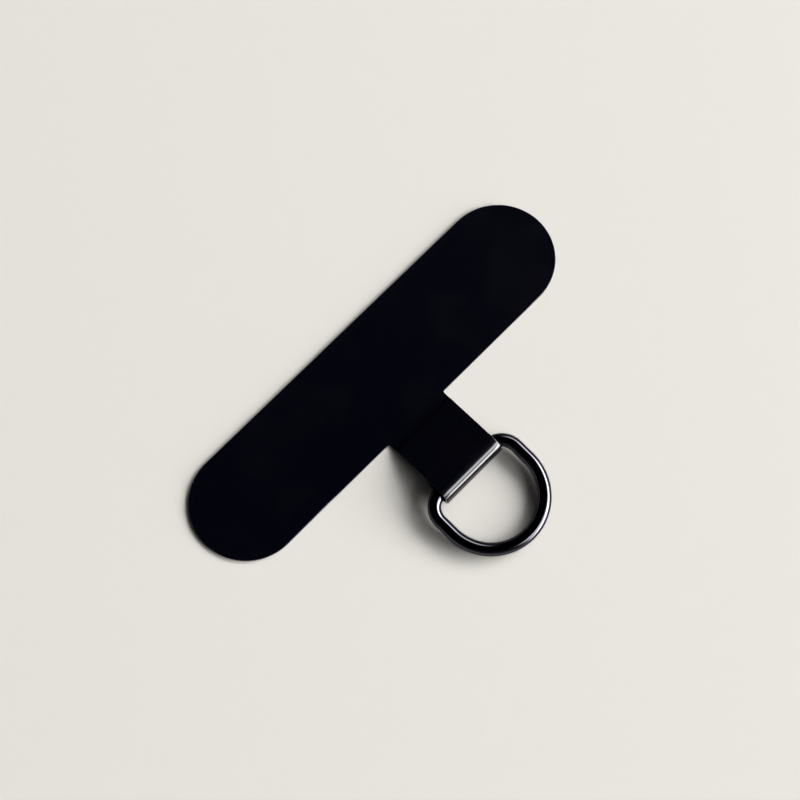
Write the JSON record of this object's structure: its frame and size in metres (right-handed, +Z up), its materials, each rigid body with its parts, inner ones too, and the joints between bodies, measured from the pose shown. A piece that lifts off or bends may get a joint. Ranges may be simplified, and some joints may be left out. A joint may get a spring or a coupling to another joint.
{
  "type": "phone lanyard patch",
  "caption": "Thin flexible T-shaped patch that lies inside a phone case; its tab leaves the case and is folded round a D-ring that swings and takes a lanyard clip.",
  "frame": {"origin": "middle of the strip's underside, on the surface that the patch lies on", "axes": "+X along the strip, -Y from the strip towards the tab and the ring, +Z up off the surface"},
  "size_m": [0.062, 0.0372, 0.0033],
  "materials": {
    "sheet": "deep black flexible polyurethane film, smooth with a satin gloss",
    "ring_metal": "polished black nickel plate on round wire"
  },
  "bodies": {
    "patch": {"patch_sheet": "sheet"},
    "ring": {"d_ring": "ring_metal"}
  },
  "joints": [
    {"name": "ring_swing", "type": "hinge", "parent": "patch", "child": "ring", "pos_m": [-0.00082, -0.01702, 0.00167], "axis": [-1, 0, 0], "range_deg": [-158, 182]}
  ]
}
